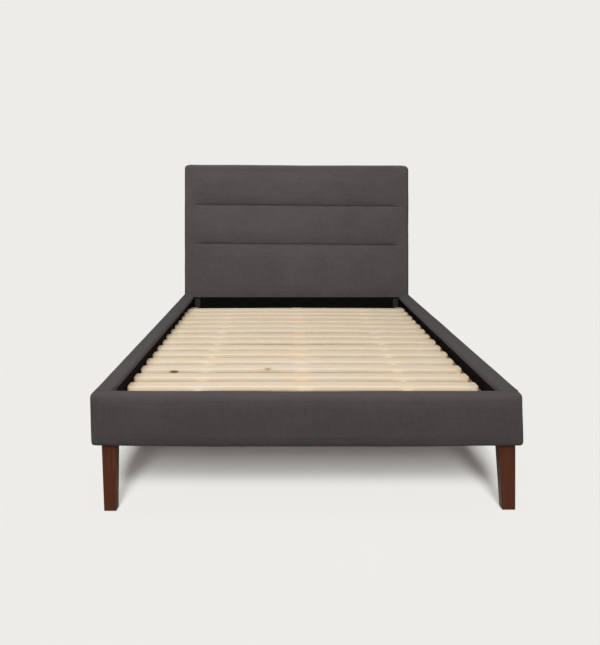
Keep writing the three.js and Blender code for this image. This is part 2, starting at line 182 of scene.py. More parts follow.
def felted(name, color):
    """Thin non-woven lining: short random fibres and faint press marks."""
    s = Surface(name, Roughness=0.85, Specular_IOR_Level=0.06)
    fibres = s.noise(s.place, scale=900.0, detail=2.0, distortion=1.5)
    dots = s.node("ShaderNodeTexVoronoi", {"Vector": s.place, "Scale": 420.0}).outputs["Distance"]
    pattern = s.math("MULTIPLY_ADD", dots, 0.5, fibres)
    shade = s.ramp(pattern, [(0.45, tone(color, 0.7)), (0.85, tone(color, 1.35))])
    rough = s.fit(fibres, 0.3, 0.7, 0.8, 0.95)
    return s.finish(shade, rough, s.bump(pattern, 0.3 * MM, 0.5))


def timber(name, along, pale, warm, dark, knots=0.55, gloss=0.55, ring=70.0, edge=None,
           specular=0.4):
    """Sawn wood with its grain along one axis (0, 1 or 2): rings, fibres and a few knots. edge is a
    painted
    highlight: a colour multiplied into the steep faces, so they come out brighter than the tops."""
    s = Surface(name, Roughness=gloss, Specular_IOR_Level=specular)
    stretched = s.scaled(along_axis(along, 0.55, 9.0), (3.1, 7.7, 1.9))
    figure = s.noise(stretched, scale=2.2, detail=5.0, distortion=0.7)
    across = s.math("MULTIPLY", figure, ring)
    rings = s.math("MULTIPLY_ADD", s.math("SINE", across), 0.5, 0.5)
    fibres = s.noise(s.scaled(along_axis(along, 7.0, 620.0)), detail=3.0, roughness=0.65)
    patches = s.scaled(along_axis(along, 0.35, 14.0), (9.0, 2.0, 5.0))
    tint = s.noise(patches, scale=1.4, detail=2.0)
    pattern = s.math("ADD", s.math("MULTIPLY", rings, 0.30), s.math("MULTIPLY", fibres, 0.34))
    pattern = s.math("MULTIPLY_ADD", tint, 0.42, pattern)
    color = s.ramp(pattern, [(0.32, warm), (0.52, tone(warm, 1.02)), (0.72, pale)])
    knot_places = s.scaled(along_axis(along, 4.2, 13.0))
    cells = s.node("ShaderNodeTexVoronoi", {"Vector": knot_places, "Scale": 1.0})
    chosen = s.node("ShaderNodeSeparateColor", {0: cells.outputs["Color"]}).outputs[0]
    allowed = s.math("LESS_THAN", chosen, knots)
    ragged = s.math("MULTIPLY_ADD", fibres, 0.035, cells.outputs["Distance"])
    core = s.math("MULTIPLY", s.fit(ragged, 0.055, 0.095, 1.0, 0.0), allowed)
    halo = s.math("MULTIPLY", s.fit(ragged, 0.07, 0.22, 0.5, 0.0), allowed)
    color = s.mix(halo, color, (*tone(warm, 0.86), 1))
    color = s.mix(core, color, (*dark, 1))
    # Painted highlight: the steep faces take the edge colour multiplied in, so they look more lit than
    # the tops.
    if edge is not None:
        normal = s.node("ShaderNodeNewGeometry").outputs["Normal"]
        facing = s.node("ShaderNodeSeparateXYZ", {0: normal})
        painted_highlight = s.fit(s.math("ABSOLUTE", facing.outputs["Z"]), 0.35, 0.85, 1.0, 0.0)
        color = s.mix(painted_highlight, color, (*edge, 1), "MULTIPLY")
    rough = s.fit(pattern, 0.2, 0.8, gloss - 0.08, gloss + 0.1)
    height = s.math("MULTIPLY_ADD", fibres, 1.0, s.math("MULTIPLY", rings, 0.3))
    return s.finish(color, rough, s.bump(height, 0.12 * MM, 0.5))


def metal(name, color, roughness, metallic=1.0):
    """Plated or powder-coated steel: fine orange peel, faint scuffs and duller patches."""
    s = Surface(name, Metallic=metallic, Roughness=roughness)
    peel = s.noise(s.place, scale=850.0, detail=2.0)
    scuffs = s.noise(s.scaled((60, 300, 300)), scale=1.0, detail=5.0, roughness=0.7)
    shade = s.ramp(scuffs, [(0.3, tone(color, 0.94)), (0.7, tone(color, 1.06))])
    rough = s.fit(scuffs, 0.3, 0.7, roughness - 0.07, roughness + 0.12)
    return s.finish(shade, rough, s.bump(peel, 0.05 * MM, 0.4))


def moulded(name, color):
    """Moulded plastic with a fine texture."""
    s = Surface(name, Roughness=0.5)
    grain = s.noise(s.place, scale=1400.0, detail=1.0)
    patches = s.noise(s.place, scale=90.0, detail=3.0)
    shade = s.ramp(patches, [(0.35, tone(color, 0.9)), (0.65, tone(color, 1.12))])
    return s.finish(shade, s.fit(patches, 0.3, 0.7, 0.42, 0.58), s.bump(grain, 0.06 * MM, 0.5))


def cellular(name, color):
    """Cut polyurethane foam with open cells."""
    s = Surface(name, Roughness=0.95, Specular_IOR_Level=0.1)
    cells = s.node("ShaderNodeTexVoronoi", {"Vector": s.place, "Scale": 700.0}).outputs["Distance"]
    shade = s.ramp(cells, [(0.1, tone(color, 0.7)), (0.6, color)])
    return s.finish(shade, s.fit(cells, 0.0, 0.7, 0.9, 1.0), s.bump(cells, 0.4 * MM, 0.6))


CLOTH = (0.0800, 0.0703, 0.0698)
BLACK = (0.0034, 0.0033, 0.0034)
PINE = dict(pale=(0.850, 0.760, 0.632), warm=(0.888, 0.713, 0.502), dark=(0.200, 0.110, 0.055))
SPRUCE = dict(pale=(0.610, 0.455, 0.290), warm=(0.520, 0.345, 0.185), dark=(0.170, 0.085, 0.035))
WALNUT = dict(pale=(0.131, 0.0470, 0.0238), warm=(0.099, 0.0330, 0.0166), dark=(0.028, 0.010, 0.005))

cloth = woven("charcoal_cloth", CLOTH)
lining = felted("black_lining", BLACK)
back_lining = felted("back_lining", tone(BLACK, 3.5))
foam = cellular("foam", (0.70, 0.64, 0.46))
# The slats' steep faces get a painted highlight, 4% brighter than their tops.
pine = timber("pine", 0, **PINE, edge=(1.04, 1.04, 1.04))
walnut = timber("walnut_stain", 2, **WALNUT, knots=0.0, gloss=0.5, ring=38.0, specular=0.08)
timber_x = timber("timber_across", 0, **SPRUCE)
timber_y = timber("timber_lengthwise", 1, **SPRUCE)
timber_z = timber("timber_upright", 2, **SPRUCE)
webbing = woven("webbing", (0.66, 0.63, 0.56), thread=2.2 * MM, contrast=0.06, bump=0.35 * MM,
                sheen=0.05)
black_steel = metal("black_steel", (0.0065, 0.0065, 0.007), 0.55, metallic=0.0)
zinc = metal("zinc", (0.56, 0.57, 0.58), 0.32)
plastic = moulded("black_plastic", (0.011, 0.011, 0.011))

# A node's material goes by the first of these words that its name has, and is cloth without one.
node_materials = {
    "cradle": black_steel, "bracket": black_steel, "bolt": zinc, "stud": zinc, "glide": plastic,
    "foot_pad": plastic, "liner": lining, "foam": foam, "slat_ledge": timber_y,
    "center_beam": timber_y, "side_rail_board": timber_y, "foot_rail_board": timber_x,
    "headboard_frame": timber_x, "center_leg": timber_z,
}
for name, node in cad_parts.items():
    found = [material for word, material in node_materials.items() if word in name]
    node.data.materials.clear()
    node.data.materials.append(found[0] if found else cloth)


# ---- Mesh helpers ----
CLOTH_THICKNESS = 2.4 * MM
CLOTH_FRAMES = 20  # how long the cloth solver runs


def build(name, points, faces, material, smooth=True):
    mesh = bpy.data.meshes.new(name)
    mesh.from_pydata([tuple(p) for p in points], [], faces)
    mesh.update()
    mesh.polygons.foreach_set("use_smooth", [smooth] * len(mesh.polygons))
    made = bpy.data.objects.new(name, mesh)
    made.data.materials.append(material)
    scene.collection.objects.link(made)
    return made


def carry(piece, body, slot, *nodes):
    """Puts a piece on a body and hides the nodes it stands for. slot is not used."""
    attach(piece, body)
    if nodes:
        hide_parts(*nodes)


def vectors(rows, key):
    flat = np.zeros(3 * len(rows))
    rows.foreach_get(key, flat)
    return flat.reshape(-1, 3)


def points_of(piece):
    return vectors(piece.data.vertices, "co")


def normals_of(piece):
    return vectors(piece.data.vertex_normals, "vector")


def set_points(piece, points):
    piece.data.vertices.foreach_set("co", np.asarray(points, float).ravel())
    piece.data.update()


def modify(piece, kind, **settings):
    """Adds a modifier and applies it at once."""
    set_all(piece.modifiers.new(kind.lower(), kind), settings)
    shown = piece.evaluated_get(bpy.context.evaluated_depsgraph_get())
    mesh = bpy.data.meshes.new_from_object(shown)
    mesh.name = piece.name
    piece.modifiers.clear()
    piece.data = mesh
    return piece


def loft(rings, closed):
    """Quads between rings of points, ring after ring."""
    count = len(rings[0])
    points = np.concatenate(rings)
    faces = []
    for r in range(len(rings) - 1):
        for i in range(count if closed else count - 1):
            j = (i + 1) % count
            a, b = r * count, (r + 1) * count
            faces.append((a + i, a + j, b + j, b + i))
    return points, faces


def smooth_step(value, low, high):
    t = np.clip((np.asarray(value, float) - low) / (high - low), 0, 1)
    return t * t * (3 - 2 * t)


def wrinkled(points, normals, amount, scale, seed):
    """Points moved along their normals by smooth noise."""
    shift = np.array([
        noise.noise(Vector((p[0] * scale[0] + seed, p[1] * scale[1], p[2] * scale[2])))
        for p in points
    ])
    return points + normals * (shift * amount)[:, None]


def inflate(piece, held, pressure, cap, fade=1.0):
    """Blows the cloth out with Blender's cloth solver. held gives 1 for a point that is stapled or
    sewn down and 0 for a free one; cap is how far a point may move, and fade scales its movement."""
    group = piece.vertex_groups.new(name="held")
    for index in np.nonzero(held > 0)[0]:
        group.add([int(index)], float(held[index]), "REPLACE")
    modifier = piece.modifiers.new("cloth", "CLOTH")
    settings = set_all(modifier.settings, dict(
        quality=6, mass=0.35, tension_stiffness=18, compression_stiffness=18, shear_stiffness=6,
        bending_stiffness=1.2, vertex_group_mass=group.name, use_pressure=True,
        uniform_pressure_force=pressure,
    ))
    settings.effector_weights.gravity = 0
    modifier.collision_settings.use_collision = False
    modifier.point_cache.frame_start = 1
    modifier.point_cache.frame_end = CLOTH_FRAMES
    before = points_of(piece)
    for number in range(1, CLOTH_FRAMES + 1):
        scene.frame_set(number)
    shown = piece.evaluated_get(bpy.context.evaluated_depsgraph_get())
    move = points_of(shown) - before
    piece.modifiers.remove(modifier)
    piece.vertex_groups.clear()
    scene.frame_set(1)
    length = np.maximum(np.linalg.norm(move, axis=1), 1e-9)
    capped = cap * np.tanh(length / cap) * fade
    set_points(piece, before + move * (capped / length)[:, None])


def cloth_finish(piece, nodes):
    """Gives a cover the thickness of cloth, puts it on the root body and hides the nodes it stands
    for.
    """
    modify(piece, "SOLIDIFY", thickness=CLOTH_THICKNESS, offset=-1.0, use_even_offset=False)
    carry(piece, "root", "upholstery_cloth", *nodes)


# ---- Headboard ----
EDGE = 14 * MM  # rounding of the cover's front edges
OVERHANG = 2 * MM  # the padding stands a little past the frame
LEAN = 4 * MM  # the left end is this much higher, and the right end lower
CLOTH_BOTTOM = 285 * MM  # the grey cloth ends here, above the lining
SEAMS = (541.7 * MM, 730.7 * MM)
SEAM_DEPTH = 8 * MM
SEAM_GROOVE = 5 * MM  # the narrow sewn line at the bottom of each tuck
SEAM_WIDTH = 2.8 * MM
TUCK_WIDTH = 7 * MM  # how fast the cloth comes back up beside a seam
FRONT_START = 2.5 * MM
BACK_CORNER = 1.1  # the back of the cover has squarer upper corners
FRAME_AT = 36 * MM  # from the front to the frame behind the foam
SIDE_HELD_BELOW = 310 * MM  # here the cloth is held beside the lining
CALM_WIDTH = 65 * MM  # the padding rises over this width from its edges


def seam_depth(x):
    return SEAM_DEPTH * smooth_step(x, -0.515, -0.44) * (1 - smooth_step(x, 0.465, 0.505))


def headboard_cover():
    low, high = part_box("headboard_cover")
    half, top = high.x + OVERHANG - EDGE, high.z + OVERHANG / 2 - EDGE
    liner_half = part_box("headboard_liner")[1].x
    columns = np.concatenate([
        np.linspace(-half, -liner_half, 3), np.linspace(-liner_half, liner_half, 85)[1:-1],
        np.linspace(liner_half, half, 3),
    ])
    spans = [(low.z + 3 * MM, CLOTH_BOTTOM, 9, False), (CLOTH_BOTTOM, SEAMS[0], 20, True),
             (SEAMS[0], SEAMS[1], 16, True), (SEAMS[1], top, 16, True)]
    rows = [spans[0][0]]
    for a, b, count, dense in spans:
        for k in range(1, count + 1):
            t = k / count
            rows.append(a + (b - a) * (0.5 - 0.5 * math.cos(math.pi * t) if dense else t))
    rows = np.array(rows)
    wide, tall = len(columns), len(rows)
    front = low.y + FRONT_START
    grid_x, grid_z = np.meshgrid(columns, rows)
    grid_y = np.full_like(grid_x, front)
    for seam in SEAMS:
        grid_y += seam_depth(grid_x) * np.exp(-np.abs(grid_z - seam) / TUCK_WIDTH)
    points = [np.array(p) for p in np.stack([grid_x, grid_y, grid_z], axis=2).reshape(-1, 3)]
    faces = []
    for r in range(tall - 1):
        for c in range(wide - 1):
            middle_x, middle_z = (columns[c] + columns[c + 1]) / 2, (rows[r] + rows[r + 1]) / 2
            if abs(middle_x) < liner_half and middle_z < CLOTH_BOTTOM:
                continue
            a = r * wide + c
            faces.append((a, a + 1, a + wide + 1, a + wide))

    # From the front face round the edge, along the side and over to the back.
    rim = [r * wide for r in range(tall)]
    rim += [(tall - 1) * wide + c for c in range(1, wide)]
    rim += [r * wide + wide - 1 for r in range(tall - 2, -1, -1)]
    diagonal = math.sqrt(0.5)
    directions = []
    for index in rim:
        r, c = divmod(index, wide)
        outward = np.array([(c == wide - 1) - (c == 0), 0.0, float(r == tall - 1)])
        directions.append(outward * (diagonal if abs(outward).sum() > 1 else 1.0))
    turn = np.radians([22, 45, 68, 90])
    depth = [front + EDGE * (1 - math.cos(a)) for a in turn]
    reach = [EDGE * math.sin(a) for a in turn]
    depth += list(np.linspace(depth[-1], high.y - 4 * MM, 5)[1:])
    reach += [EDGE] * 4
    depth += [high.y - 1 * MM, high.y, high.y, high.y]
    reach += [EDGE - 1 * MM, EDGE - 4 * MM, EDGE - 12 * MM, EDGE - 20 * MM]
    previous = rim
    for y, out in zip(depth, reach):
        current = []
        for index, direction in zip(rim, directions):
            base = points[index]
            step = direction * out
            at_corner = abs(direction[0]) > 0.5 and abs(direction[2]) > 0.5
            if at_corner and out < 0:
                step = step / diagonal
            elif at_corner and y > low.y + FRAME_AT:
                step = step * BACK_CORNER
            current.append(len(points))
            points.append(np.array([base[0] + step[0], y, base[2] + step[2]]))
        for i in range(len(rim) - 1):
            faces.append((previous[i], previous[i + 1], current[i + 1], current[i]))
        previous = current

    # The bottom edge of the cloth is folded back over the lining.
    bottom_row = int(np.argmin(np.abs(rows - CLOTH_BOTTOM)))
    inside = [bottom_row * wide + c for c in range(wide) if abs(columns[c]) <= liner_half + 1e-6]
    fold = []
    for index in inside:
        fold.append(len(points))
        points.append(points[index] + np.array([0, 2.5 * MM, -0.5 * MM]))
    for i in range(len(inside) - 1):
        faces.append((inside[i + 1], inside[i], fold[i], fold[i + 1]))

    used = sorted({i for face in faces for i in face})
    renumber = {old: new for new, old in enumerate(used)}
    points = np.array([points[i] for i in used])
    faces = [tuple(renumber[i] for i in face) for face in faces]
    piece = build("headboard_cover_padded", points, faces, cloth)

    # The sides, the bottom, the folds and the seams are held; the front is free.
    x, y, z = points.T
    held = (y > front + EDGE * 0.35) & (np.abs(x) > half - 1 * MM)
    held |= (z > top + 1 * MM) & (y > front + 6 * MM)
    held |= z < CLOTH_BOTTOM + 1 * MM
    held |= (np.abs(x) > liner_half) & (z < SIDE_HELD_BELOW)
    for seam in SEAMS:
        held |= (np.abs(z - seam) < 0.1 * MM) & (seam_depth(x) > 0.5 * MM) & (np.abs(x) < half)
    fade = smooth_step(np.minimum(half - np.abs(x), top - z), -2 * MM, CALM_WIDTH)
    inflate(piece, held.astype(float), pressure=3.0, cap=6.5 * MM, fade=fade)
    modify(piece, "SUBSURF", levels=1, render_levels=1)
    points, normals = points_of(piece), normals_of(piece)
    points = wrinkled(points, normals, 1.0 * MM, (6, 6, 9), 3.0)
    points = wrinkled(points, normals, 0.35 * MM, (22, 22, 40), 11.0)
    on_front = points[:, 1] < low.y + 20 * MM
    for seam in SEAMS:
        wander = np.array([noise.noise(Vector((px * 5.0, seam * 9.0, 0.0))) for px in points[:, 0]])
        off_seam = points[:, 2] - seam - 1.2 * MM * wander
        share = seam_depth(points[:, 0]) / SEAM_DEPTH
        groove = SEAM_GROOVE * np.exp(-(off_seam / SEAM_WIDTH) ** 2) * share
        points[:, 1] += np.where(on_front, groove, 0)
    rise = smooth_step(points[:, 2], CLOTH_BOTTOM, 0.45)
    rise *= 1 - smooth_step(points[:, 1], low.y + 14 * MM, low.y + FRAME_AT)
    points[:, 2] -= LEAN * rise * points[:, 0] / 0.5
    set_points(piece, points)
    cloth_finish(piece, ["headboard_cover", "headboard_foam"])
    return piece


headboard = headboard_cover()


def headboard_hem():
    """The bottom edge of the cover, folded under the frame and stapled to its back."""
    low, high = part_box("headboard_cover")
    bolt_low, bolt_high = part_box("hanger_bolt_rear_right")
    half = high.x - 1.5 * MM
    under, behind = low.z + 1.2 * MM, high.y - 1.3 * MM
    hole_x = (bolt_low.x - 1 * MM, bolt_high.x + 1 * MM)
    hole_y = (bolt_low.y - 1 * MM, bolt_high.y + 1 * MM)
    right = [hole_x[0], hole_x[1], half]
    columns = [-x for x in right[::-1]] + list(np.linspace(-hole_x[0], hole_x[0], 41)[1:-1]) + right
    line = [(low.y + 3 * MM, under), (low.y + 20 * MM, under), (hole_y[0], under), (hole_y[1], under),
            (behind - 12 * MM, under), (behind - 3 * MM, under), (behind - 0.8 * MM, under + 0.8 * MM),
            (behind, under + 3 * MM), (behind, under + 16 * MM)]
    points, faces = loft([np.array([(x, y, z) for x in columns]) for y, z in line], False)
    wide = len(columns)
    around_bolts = (2 * wide + 1, 3 * wide - 3)
    faces = [face for face in faces if face[0] not in around_bolts]
    piece = build("headboard_hem", points, faces, cloth)
    modify(piece, "SOLIDIFY", thickness=1.8 * MM, offset=0.0)
    carry(piece, "root", "upholstery_cloth")
    return piece


hem = headboard_hem()


# ---- Rails ----
RAIL_LOW, RAIL_HIGH = 170 * MM, 300 * MM
LIP_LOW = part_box("side_rail_liner_left")[1].z
BOTTOM_BEND = 8 * MM
LIP_BEND = 13 * MM
TUCK = 5 * MM  # cloth turned in at the end of a side rail
CAP_SCALES = (0.02, 0.4, 0.75, 0.95)  # rings of points across a closed end


def bend(start, control, end, count):
    t = np.linspace(0, 1, count + 1)[1:, None]
    start, control, end = (np.array(p, float) for p in (start, control, end))
    return (1 - t) ** 2 * start + 2 * t * (1 - t) * control + t ** 2 * end


def straight(start, end, count):
    t = np.linspace(0, 1, count + 1)[1:, None]
    return np.array(start) + t * (np.array(end) - np.array(start))


def cover_path(lip, board_inner, edge):
    """The cover's line from the hem under the rail, up the outer face, over the padded top and
    down to the staples, as (inset from the outer face, height) in metres."""
    parts = [
        np.array([[board_inner, RAIL_LOW]]),
        straight((board_inner, RAIL_LOW), (BOTTOM_BEND, RAIL_LOW), 3),
        bend((BOTTOM_BEND, RAIL_LOW), (0, RAIL_LOW), (0, RAIL_LOW + BOTTOM_BEND), 4),
        straight((0, RAIL_LOW + BOTTOM_BEND), (0, RAIL_HIGH - edge), 9),
        bend((0, RAIL_HIGH - edge), (0, RAIL_HIGH), (edge, RAIL_HIGH), 4),
        straight((edge, RAIL_HIGH), (lip - LIP_BEND, RAIL_HIGH), 4),
        bend((lip - LIP_BEND, RAIL_HIGH), (lip, RAIL_HIGH), (lip, RAIL_HIGH - LIP_BEND), 5),
        bend((lip, RAIL_HIGH - LIP_BEND), (lip, LIP_LOW), (board_inner, LIP_LOW), 6),
    ]
    return np.concatenate(parts)


def inward(path):
    """Unit vectors that point into the rail, one for each point of the path."""
    along = np.gradient(path, axis=0)
    across = np.stack([along[:, 1], -along[:, 0]], axis=1)
    return across / np.linalg.norm(across, axis=1)[:, None]


def rail_cover(name, place, path, ends, rounding, stations, full_cap):
    """A padded cover along a rail. place turns (inset, height, along) into a point. rounding is the
    radius at each end; a full cap closes the end, and otherwise the cloth is tucked in."""
    inside = inward(path)

    def ring(along, shrink, scale=1.0):
        shape = path + inside * shrink
        if scale < 1:
            middle = (shape.min(0) + shape.max(0)) / 2
            shape = middle + (shape - middle) * scale
        return np.array([place(inset, height, along) for inset, height in shape])

    def closing(along, scales):
        if full_cap:
            return [ring(along, rounding, scale) for scale in scales]
        return [ring(along, rounding + TUCK)]

    turn = np.radians([0, 30, 60, 90])
    first = [(ends[0] + rounding * (1 - math.cos(a)), rounding * (1 - math.sin(a))) for a in turn]
    last = [(ends[1] - rounding * (1 - math.cos(a)), rounding * (1 - math.sin(a))) for a in turn[::-1]]
    body = [(s, 0.0) for s in np.linspace(ends[0] + rounding, ends[1] - rounding, stations)[1:-1]]
    rings = closing(ends[0], CAP_SCALES)
    rings += [ring(along, shrink) for along, shrink in first + body + last]
    rings += closing(ends[1], CAP_SCALES[::-1])
    points, faces = loft(rings, False)
    if full_cap:
        count = len(path)
        for r in list(range(4)) + list(range(len(rings) - 5, len(rings) - 1)):
            faces.append(((r + 1) * count - 1, r * count, (r + 1) * count, (r + 2) * count - 1))
        faces.append(tuple(range(count)))
        start = (len(rings) - 1) * count
        faces.append(tuple(range(start + count - 1, start - 1, -1)))
    return build(name, points, faces, cloth)


def face_outwards(piece):
    bpy.context.view_layer.objects.active = piece
    piece.select_set(True)
    bpy.ops.object.mode_set(mode="EDIT")
    bpy.ops.mesh.select_all(action="SELECT")
    bpy.ops.mesh.normals_make_consistent(inside=False)
    bpy.ops.object.mode_set(mode="OBJECT")
    piece.select_set(False)


def pad_rail(piece, held, nodes, pressure, cap, wrinkle, seed, shape):
    """Blows out a rail's cover, wrinkles it a little and gives it its final shape."""
    inflate(piece, held.astype(float), pressure=pressure, cap=cap)
    modify(piece, "SUBSURF", levels=1, render_levels=1)
    points, normals = points_of(piece), normals_of(piece)
    points = wrinkled(points, normals, wrinkle, (7, 5, 11), seed)
    points = wrinkled(points, normals, wrinkle * 0.35, (30, 24, 36), seed + 5)
    set_points(piece, shape(points))
    cloth_finish(piece, nodes)


FOOT_OVERHANG = (1.5 * MM, 2.0 * MM)  # cloth past the rail's two ends
FOOT_SHEAR = 1.4 * MM  # the lower edge is to the right and the upper edge to the left
FOOT_SAG = 2.5 * MM  # the lower edge hangs down between the ends
FOOT_CROWN = 2.6 * MM  # how far the front face bulges
FOOT_CORNER = 9 * MM  # rounding of the two lower corners


def foot_rail_cover():
    low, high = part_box("foot_rail_cover")
    board_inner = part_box("foot_rail_board")[1].y - low.y
    path = cover_path(high.y - low.y, board_inner, 12 * MM)
    ends = (low.x - FOOT_OVERHANG[0], high.x + FOOT_OVERHANG[1])
    piece = rail_cover(
        "foot_rail_cover_padded", lambda inset, height, along: (along, low.y + inset, height),
        path, ends, 4 * MM, 88, True,
    )
    face_outwards(piece)
    x, y, z = points_of(piece).T
    held = (z < RAIL_LOW + 4 * MM) | (y > low.y + 40 * MM) & (z < RAIL_HIGH - 14 * MM)
    held |= np.abs(x) > high.x - 1 * MM

    def shape(points):
        x, z = points[:, 0].copy(), points[:, 2].copy()
        near_bottom = 1 - smooth_step(z, RAIL_LOW + 4 * MM, RAIL_LOW + 60 * MM)
        to_end = np.minimum(x - ends[0], ends[1] - x)
        points[:, 2] -= FOOT_SAG * near_bottom * smooth_step(to_end, 0.0, 0.3)
        corner = np.clip(1 - to_end / FOOT_CORNER, 0, 1)
        lift = FOOT_CORNER * (1 - np.sqrt(1 - corner ** 2))
        points[:, 2] += lift * (1 - smooth_step(z, RAIL_LOW, RAIL_LOW + 3 * FOOT_CORNER)) * 0.8
        face = 1 - smooth_step(points[:, 1], low.y + 6 * MM, low.y + 14 * MM)
        middle = (RAIL_LOW + RAIL_HIGH) / 2
        crown = 1 - ((z - middle) / (RAIL_HIGH - middle)) ** 2
        points[:, 1] -= FOOT_CROWN * np.clip(crown, 0, 1) * face * smooth_step(to_end, 0.0, 0.05)
        points[:, 0] += FOOT_SHEAR * (1 - 2 * smooth_step(z, RAIL_LOW, RAIL_HIGH))
        return points

    pad_rail(piece, held, ["foot_rail_cover"], 2.2, 3.2 * MM, 0.7 * MM, 20.0, shape)


# How much wider the padded lip is at points along a rail, and how much further out the rail is, in
# mm, for the left rail (-1) and the right one (1).
LIP_STATIONS = [-0.975, -0.55, 0.0, 0.5, 0.86, 0.915, 0.945]
LIP_GROWTH = {
    -1: [-9.6, -8.4, -4.7, -1.6, -0.3, -2.6, -6.6],
    1: [-7.5, -4.5, -1.0, 1.5, 4.5, 2.0, -2.0],
}
RAIL_BOW = {
    -1: [3.6, 3.0, 2.8, 3.4, 4.0, 4.0, 4.0],
    1: [4.6, 4.0, 3.2, 2.2, 2.0, 1.5, 1.0],
}


def side_rail_cover(name, side):
    low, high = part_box(f"side_rail_cover_{name}")
    outer = high.x if side > 0 else low.x
    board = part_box(f"side_rail_board_{name}")
    board_inner = abs(outer) - min(abs(board[0].x), abs(board[1].x))
    path = cover_path(high.x - low.x, board_inner, 5 * MM)
    piece = rail_cover(
        f"side_rail_cover_padded_{name}",
        lambda inset, height, along: (side * (abs(outer) - inset), along, height),
        path, (low.y, high.y), 2.2 * MM, 150, False,
    )
    face_outwards(piece)
    x, y, z = points_of(piece).T
    held = (z < RAIL_LOW + 4 * MM) | (np.abs(x) < abs(outer) - 32 * MM) & (z < RAIL_HIGH - 16 * MM)
    held |= (y < low.y + 6 * MM) | (y > high.y - 6 * MM)

    def shape(points):
        inset = abs(outer) - np.abs(points[:, 0])
        growth = np.interp(points[:, 1], LIP_STATIONS, LIP_GROWTH[side]) * MM
        bow = np.interp(points[:, 1], LIP_STATIONS, RAIL_BOW[side]) * MM
        on_lip = smooth_step(inset, 15 * MM, 42 * MM)
        high_up = smooth_step(points[:, 2], 0.19, 0.28)
        points[:, 0] += side * (bow * (1 - on_lip) * high_up - growth * on_lip)
        return points

    pad_rail(piece, held, [f"side_rail_cover_{name}"], 1.6, 1.6 * MM, 0.6 * MM, 30.0 + side, shape)


foot_rail_cover()
side_rail_cover("left", -1)
side_rail_cover("right", 1)


# ---- Slats ----
SLAT_COUNT = 15
SLAT_THICKNESS = 14 * MM
SLAT_CORNER = 10 * MM  # rounding of a slat's corners, seen from above
SLAT_OVERHANG = (3.5 * MM, 2.0 * MM)  # past the left and right ends of the nominal slat
SLAT_EDGE = 2.0 * MM  # eased long edges
SLAT_STRIP = 5.0 * MM  # shading turns over this width beside a slat's long edges
# How far each slat lies to the right of its place, and how much more it is bowed, in mm.
SLAT_SHIFTS = [-2.0, 1.2, -0.8, 0.5, -1.5, 0.9, -0.4, 1.4, -1.1, 0.3, 0.8, -0.6, 1.0, -0.9, 0.2]
SLAT_LIFTS = [0.0, 0.2, -0.3, 0.6, -0.2, 0.4, -1.2, 1.4, -0.8, 2.0, 0.2, -0.4, 0.0, -2.0, -4.0]


def slat_section(half_width, half_thickness, edge):
    """Points round a slat, with a pair inside the edges of its top and of its bottom."""
    points = []
    inner = half_width - edge - SLAT_STRIP
    for corner, (sx, sz) in enumerate([(1, 1), (-1, 1), (-1, -1), (1, -1)]):
        for step in range(3):
            angle = math.radians(90 * corner + 45 * step)
            points.append((
                sx * (half_width - edge) + edge * math.cos(angle),
                sz * (half_thickness - edge) + edge * math.sin(angle),
            ))
        if corner in (0, 2):
            points += [(sx * inner, sz * half_thickness), (-sx * inner, sz * half_thickness)]
    return points


def slat_name(index):
    return f"slat_{index + 1:02d}"


def slat_crown(index):
    """How much higher the middle of a slat is than its ends."""
    low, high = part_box(slat_name(index))
    return high.z - low.z - SLAT_THICKNESS + SLAT_LIFTS[index] * MM


def slat(index):
    name = slat_name(index)
    low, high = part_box(name)
    crown = slat_crown(index)
    middle_y = (low.y + high.y) / 2
    half_width = (high.y - low.y) / 2
    start = low.x - SLAT_OVERHANG[0]
    length = high.x + SLAT_OVERHANG[1] - start
    end = [(0.0, 1.6 * MM), (0.5 * MM, 0.6 * MM), (1.8 * MM, 0.0)]
    turn = [SLAT_CORNER * (1 - math.cos(a)) for a in np.radians([36, 50, 64, 78, 90])]
    near = end + [(d, 0.0) for d in turn]
    stations = near + [(d, 0.0) for d in np.linspace(0.05, length - 0.05, 23)]
    stations += [(length - d, shrink) for d, shrink in near[::-1]]
    rings = []
    for along, shrink in stations:
        to_end = min(along, length - along)
        inset = 0.0
        if to_end < SLAT_CORNER:
            inset = SLAT_CORNER - math.sqrt(SLAT_CORNER ** 2 - (SLAT_CORNER - to_end) ** 2)
        s = along / length - 0.5
        lift = crown * (1 - 4 * s * s)
        x = start + along + SLAT_SHIFTS[index] * MM
        wander = 0.8 * MM * noise.noise(Vector((x * 1.7, index * 3.3, 0.5)))
        twist = 0.012 * noise.noise(Vector((x * 1.1, index * 5.1, 7.5)))
        section = slat_section(
            half_width - inset - shrink, SLAT_THICKNESS / 2 - shrink, SLAT_EDGE - shrink * 0.9,
        )
        middle_z = low.z + SLAT_THICKNESS / 2 + lift
        rings.append(np.array([
            (x, middle_y + across + wander, middle_z + up + across * twist)
            for across, up in section
        ]))
    points, faces = loft(rings, True)
    count = len(rings[0])
    faces.append(tuple(range(count)))
    faces.append(tuple(len(points) - 1 - i for i in range(count)))
    piece = build(f"{name}_pine", points, faces, pine)
    face_outwards(piece)
    carry(piece, "slat_mat", "pine_slats", name)


for number in range(SLAT_COUNT):
    slat(number)


# ---- Legs ----
# How far the left and the right face of a front leg are moved, at its foot and at its top, in mm.
LEG_STANCE = {
    "front_left": [(0.6, 0.0), (1.6, 0.0)],
    "front_right": [(1.0, 2.8), (-2.8, 1.0)],
}


